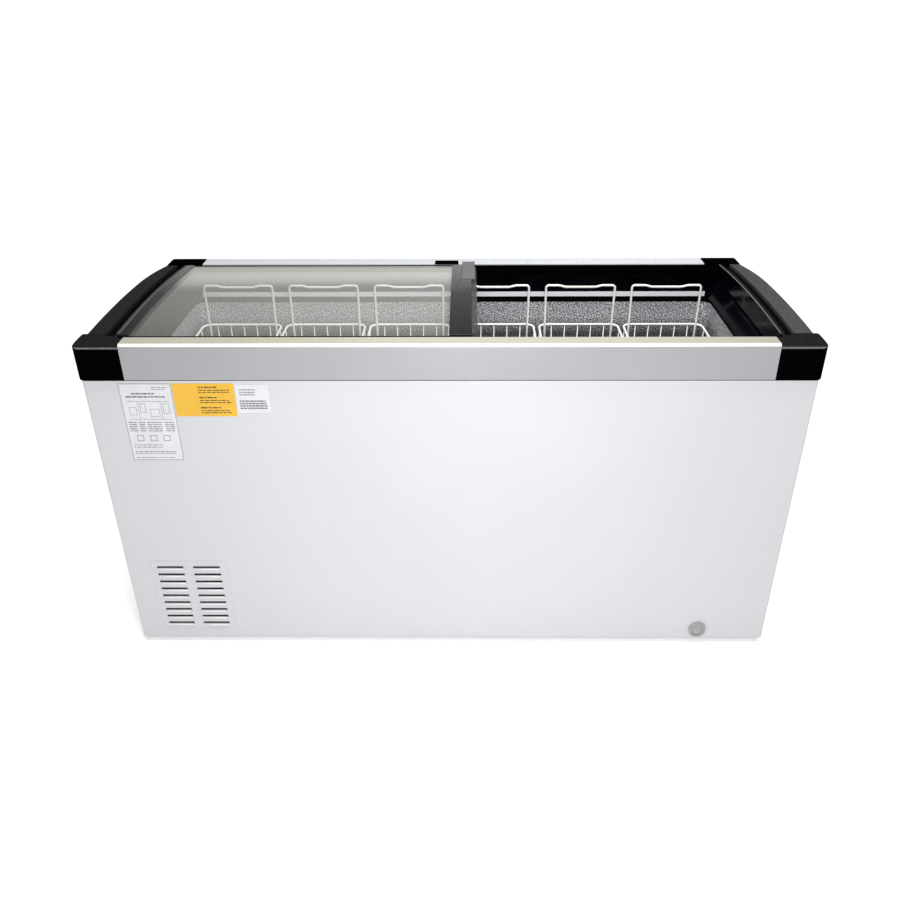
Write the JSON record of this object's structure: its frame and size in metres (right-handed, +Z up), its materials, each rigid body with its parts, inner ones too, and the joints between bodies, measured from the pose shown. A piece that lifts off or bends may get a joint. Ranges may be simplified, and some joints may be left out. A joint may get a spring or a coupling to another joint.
{
  "type": "sliding-top display chest freezer",
  "caption": "Chest freezer with two curved glass lids that slide sideways over an embossed tank of wire baskets.",
  "frame": {"origin": "on the floor under the middle of the freezer", "axes": "+X along the freezer to its right as seen from the front, +Y to the back, +Z up"},
  "size_m": [1.525, 0.656, 0.7714],
  "materials": {
    "white_steel": "satin white paint",
    "grey_steel": "galvanised",
    "rubber": "matt",
    "satin_rail": "satin grey extrusion",
    "cream_plastic": "cream extrusion",
    "black_plastic": "black, fine texture",
    "gloss_black": "black, gloss",
    "embossed_aluminium": "stucco embossed",
    "bright_aluminium": "bright anodised",
    "lid_glass": "clear, slightly grey-green",
    "coated_wire": "white plastic coating on steel wire",
    "grey_plastic": "satin grey",
    "foam": "rigid foam",
    "copper": "drawn tube",
    "brush": "pile brush"
  },
  "bodies": {
    "cabinet": {"front_panel": "white_steel", "side_panel_left": "white_steel", "side_panel_right": "white_steel", "rear_rail_cap": "white_steel", "back_panel": "grey_steel", "rear_vent_panel": "grey_steel", "base_tray": "grey_steel", "condenser": "grey_steel", "fan_bracket": "grey_steel", "fan_motor": "grey_steel", "foot_front_left": "rubber", "foot_front_right": "rubber", "foot_rear_left": "rubber", "foot_rear_right": "rubber", "front_rail": "satin_rail", "rear_rail": "satin_rail", "front_rail_cap": "cream_plastic", "breaker_ledge": "black_plastic", "top_collar": "black_plastic", "compressor": "black_plastic", "thermostat": "black_plastic", "cord_gland": "black_plastic", "front_track": "black_plastic", "rear_track": "black_plastic", "front_corner_left": "black_plastic", "front_corner_right": "black_plastic", "rear_corner_left": "black_plastic", "rear_corner_right": "black_plastic", "end_frame_left": "black_plastic", "end_frame_right": "black_plastic", "centre_stop": "black_plastic", "rear_inner_panel": "gloss_black", "inner_end_panel_left": "gloss_black", "inner_end_panel_right": "gloss_black", "inner_tank": "embossed_aluminium", "rear_trim_strip": "bright_aluminium", "drain_tube": "grey_plastic", "foam_insulation": "foam", "evaporator_coil": "copper"},
    "left_lid": {"left_lid_front_profile": "black_plastic", "left_lid_rear_profile": "black_plastic", "left_lid_end_profile": "black_plastic", "left_lid_meeting_stile": "black_plastic", "left_lid_glass": "lid_glass"},
    "right_lid": {"right_lid_front_profile": "black_plastic", "right_lid_rear_profile": "black_plastic", "right_lid_end_profile": "black_plastic", "right_lid_meeting_stile": "black_plastic", "right_lid_glass": "lid_glass", "right_lid_grip": "grey_plastic", "right_lid_brush": "brush"},
    "basket_1": {"basket_1": "coated_wire"},
    "basket_2": {"basket_2": "coated_wire"},
    "basket_3": {"basket_3": "coated_wire"},
    "basket_4": {"basket_4": "coated_wire"},
    "basket_5": {"basket_5": "coated_wire"},
    "basket_6": {"basket_6": "coated_wire"},
    "fan": {"fan_blade": "grey_plastic"},
    "drain_cap": {"drain_cap": "grey_plastic"},
    "knob": {"thermostat_knob": "grey_plastic"}
  },
  "joints": [
    {"name": "left_lid_slide", "type": "slide", "parent": "cabinet", "child": "left_lid", "axis": [1, 0, 0], "range_m": [0, 0.6525]},
    {"name": "right_lid_slide", "type": "slide", "parent": "cabinet", "child": "right_lid", "axis": [1, 0, 0], "range_m": [0, 0.6175]},
    {"name": "basket_1_lift", "type": "slide", "parent": "cabinet", "child": "basket_1", "axis": [0, 0, 1], "range_m": [0, 0.01]},
    {"name": "basket_2_lift", "type": "slide", "parent": "cabinet", "child": "basket_2", "axis": [0, 0, 1], "range_m": [0, 0.01]},
    {"name": "basket_3_lift", "type": "slide", "parent": "cabinet", "child": "basket_3", "axis": [0, 0, 1], "range_m": [0, 0.01]},
    {"name": "basket_4_lift", "type": "slide", "parent": "cabinet", "child": "basket_4", "axis": [0, 0, 1], "range_m": [0, 0.01]},
    {"name": "basket_5_lift", "type": "slide", "parent": "cabinet", "child": "basket_5", "axis": [0, 0, 1], "range_m": [0, 0.01]},
    {"name": "basket_6_lift", "type": "slide", "parent": "cabinet", "child": "basket_6", "axis": [0, 0, 1], "range_m": [0, 0.01]},
    {"name": "fan_spin", "type": "hinge", "parent": "cabinet", "child": "fan", "pos_m": [-0.632, -0.197, 0.145], "axis": [0, 1, 0], "continuous": true},
    {"name": "drain_cap_turn", "type": "hinge", "parent": "cabinet", "child": "drain_cap", "pos_m": [0.598, -0.3203, 0.041], "axis": [0, -1, 0], "range_deg": [0, 90]},
    {"name": "thermostat_turn", "type": "hinge", "parent": "cabinet", "child": "knob", "pos_m": [-0.675, 0.322, 0.095], "axis": [0, 1, 0], "range_deg": [0, 270]}
  ]
}
